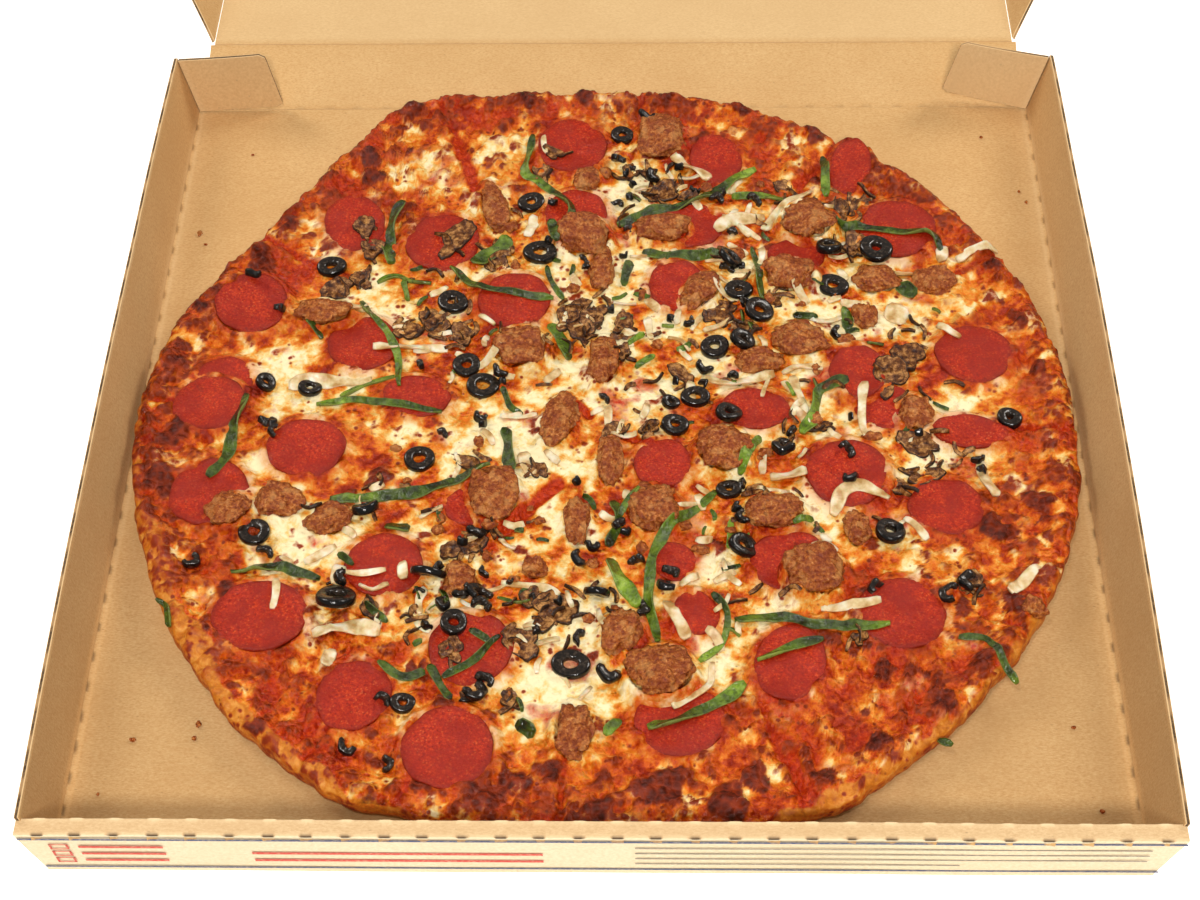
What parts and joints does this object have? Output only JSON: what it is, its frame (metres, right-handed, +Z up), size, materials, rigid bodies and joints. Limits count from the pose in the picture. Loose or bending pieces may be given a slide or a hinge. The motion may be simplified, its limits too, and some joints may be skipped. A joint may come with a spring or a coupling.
{
  "type": "pizza in an open takeaway box",
  "caption": "Whole combination pizza, sliced, with pepperoni, sausage, olives, peppers and onion, in a corrugated box with its hinged lid folded back",
  "frame": {"origin": "middle of the tray's floor, on its underside", "axes": "+X right seen from the front, +Y from the front wall to the lid's hinge, +Z up"},
  "size_m": [0.4856, 0.9884, 0.0432],
  "materials": {
    "board": "matt kraft corrugated board, clay-white print face outside",
    "crust": "baked cheese and crust, uneven, slightly oily",
    "pepperoni": "oily cured sausage slices",
    "sausage": "browned crumbly meat"
  },
  "bodies": {
    "tray": {"tray": "board", "pizza": "crust", "pepperoni_01": "pepperoni", "pepperoni_02": "pepperoni", "pepperoni_03": "pepperoni", "pepperoni_04": "pepperoni", "pepperoni_05": "pepperoni", "pepperoni_06": "pepperoni", "pepperoni_07": "pepperoni", "pepperoni_08": "pepperoni", "pepperoni_09": "pepperoni", "pepperoni_10": "pepperoni", "pepperoni_11": "pepperoni", "pepperoni_12": "pepperoni", "pepperoni_13": "pepperoni", "pepperoni_14": "pepperoni", "pepperoni_15": "pepperoni", "pepperoni_16": "pepperoni", "pepperoni_17": "pepperoni", "pepperoni_18": "pepperoni", "pepperoni_19": "pepperoni", "pepperoni_20": "pepperoni", "pepperoni_21": "pepperoni", "pepperoni_22": "pepperoni", "pepperoni_23": "pepperoni", "pepperoni_24": "pepperoni", "pepperoni_25": "pepperoni", "pepperoni_26": "pepperoni", "pepperoni_27": "pepperoni", "pepperoni_28": "pepperoni", "pepperoni_29": "pepperoni", "pepperoni_30": "pepperoni", "pepperoni_31": "pepperoni", "pepperoni_32": "pepperoni", "pepperoni_33": "pepperoni", "sausage_01": "sausage", "sausage_02": "sausage", "sausage_03": "sausage", "sausage_04": "sausage", "sausage_05": "sausage", "sausage_06": "sausage", "sausage_07": "sausage", "sausage_08": "sausage", "sausage_09": "sausage", "sausage_10": "sausage", "sausage_11": "sausage", "sausage_12": "sausage", "sausage_13": "sausage", "sausage_14": "sausage", "sausage_15": "sausage", "sausage_16": "sausage", "sausage_17": "sausage", "sausage_18": "sausage"},
    "back_wall": {"back_wall": "board"},
    "lid": {"lid": "board"},
    "lid_left_flap": {"lid_left_flap": "board"},
    "lid_right_flap": {"lid_right_flap": "board"},
    "lid_front_flap": {"lid_front_flap": "board"},
    "left_tab": {"left_tab": "board"},
    "right_tab": {"right_tab": "board"}
  },
  "joints": [
    {"name": "back_fold", "type": "hinge", "parent": "tray", "child": "back_wall", "pos_m": [0, 0.233, 0.002], "axis": [1, 0, 0], "range_deg": [0, 74.3]},
    {"name": "lid_fold", "type": "hinge", "parent": "back_wall", "child": "lid", "pos_m": [0, 0.2744, 0.01364], "axis": [1, 0, 0], "range_deg": [0, 107.15]},
    {"name": "lid_left_flap_fold", "type": "hinge", "parent": "lid", "child": "lid_left_flap", "pos_m": [-0.2255, 0.2744, 0.01364], "axis": [0, 0.9997, -0.0253], "range_deg": [0, 40]},
    {"name": "lid_right_flap_fold", "type": "hinge", "parent": "lid", "child": "lid_right_flap", "pos_m": [0.2255, 0.2744, 0.01364], "axis": [0, -0.9997, 0.0253], "range_deg": [0, 40]},
    {"name": "lid_front_flap_fold", "type": "hinge", "parent": "lid", "child": "lid_front_flap", "pos_m": [0, 0.73405, 0.002], "axis": [1, 0, 0], "range_deg": [0, 40]},
    {"name": "left_tab_fold", "type": "hinge", "parent": "tray", "child": "left_tab", "pos_m": [-0.2294, 0.2306, 0.0024], "axis": [0.1564, 0, -0.9877], "range_deg": [0, 2.1]},
    {"name": "right_tab_fold", "type": "hinge", "parent": "tray", "child": "right_tab", "pos_m": [0.2294, 0.2306, 0.0024], "axis": [0.1977, 0, 0.9803], "range_deg": [0, 10.3]}
  ],
  "couplings": [
    {"joint": "lid_left_flap_fold", "follows": "lid_fold", "ratio": 0.3733},
    {"joint": "lid_right_flap_fold", "follows": "lid_fold", "ratio": 0.3733},
    {"joint": "lid_front_flap_fold", "follows": "lid_fold", "ratio": 0.3733},
    {"joint": "left_tab_fold", "follows": "back_fold", "ratio": 0.0272},
    {"joint": "right_tab_fold", "follows": "back_fold", "ratio": 0.1373}
  ]
}
